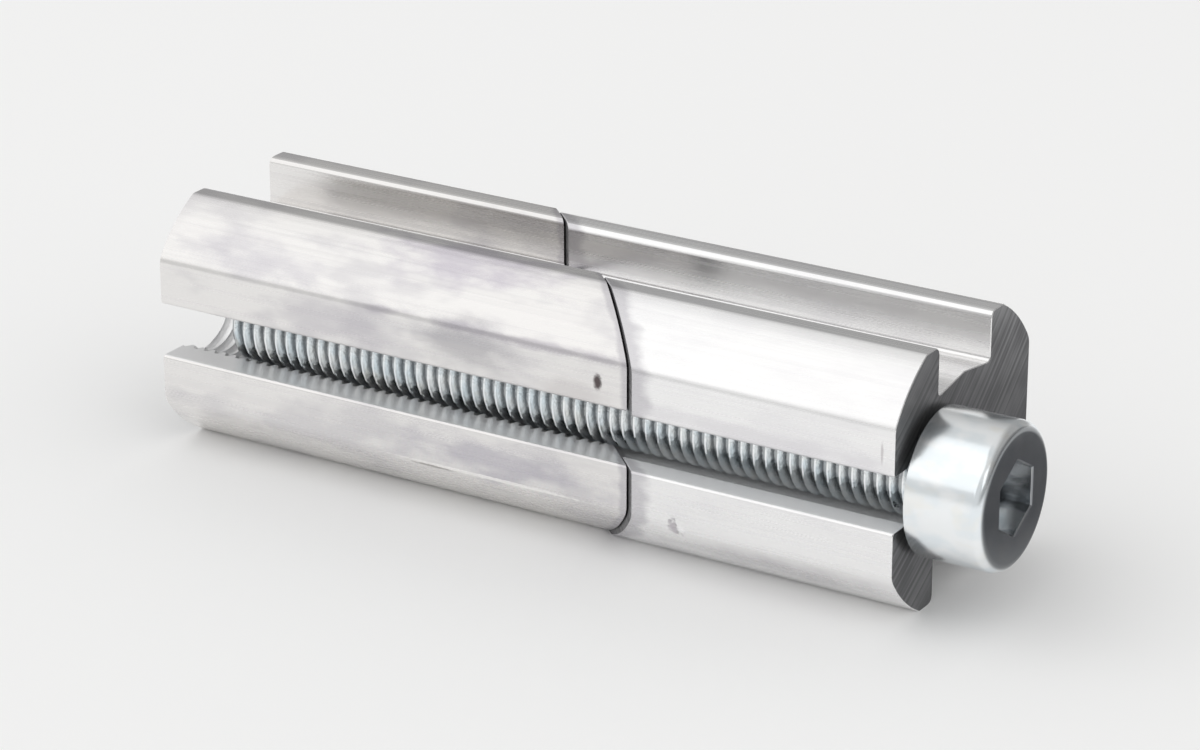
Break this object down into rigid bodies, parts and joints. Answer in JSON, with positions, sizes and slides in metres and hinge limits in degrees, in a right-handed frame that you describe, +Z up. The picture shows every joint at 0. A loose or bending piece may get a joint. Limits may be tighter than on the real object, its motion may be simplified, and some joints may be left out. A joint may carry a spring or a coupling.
{
  "type": "inner profile connector",
  "caption": "Clamping slot connector: a bar of double-T section cut obliquely into wedges that a socket-head screw draws sideways to grip the slot lips of abutting profiles.",
  "frame": {"origin": "centre of the bounding box in X and Y, at its lowest level in Z, in the loose state", "axes": "+X along the bar from the threaded wedge towards the screw's head, +Y from the slit side to the closed side, +Z up"},
  "size_m": [0.0352, 0.0108, 0.0098],
  "materials": {
    "extruded_aluminium": "bare extruded aluminium with fine lines along its length",
    "plated_steel": "bright zinc-plated steel, slightly blue"
  },
  "bodies": {
    "threaded_wedge": {"threaded_wedge": "extruded_aluminium"},
    "head_wedge": {"head_wedge": "extruded_aluminium"},
    "clamp_screw": {"clamp_screw": "plated_steel"}
  },
  "joints": [
    {"name": "screw_turn", "type": "hinge", "parent": "threaded_wedge", "child": "clamp_screw", "pos_m": [0.01464, -0.00245, 0.0049], "axis": [-1, 0, 0], "range_deg": [0, 504]},
    {"name": "wedge_slide", "type": "slide", "parent": "threaded_wedge", "child": "head_wedge", "axis": [-0.7071, 0.7071, 0], "range_m": [0, 0.00098994]}
  ],
  "couplings": [
    {"joint": "screw_turn", "follows": "wedge_slide", "rad_per_m": 8885.8}
  ]
}
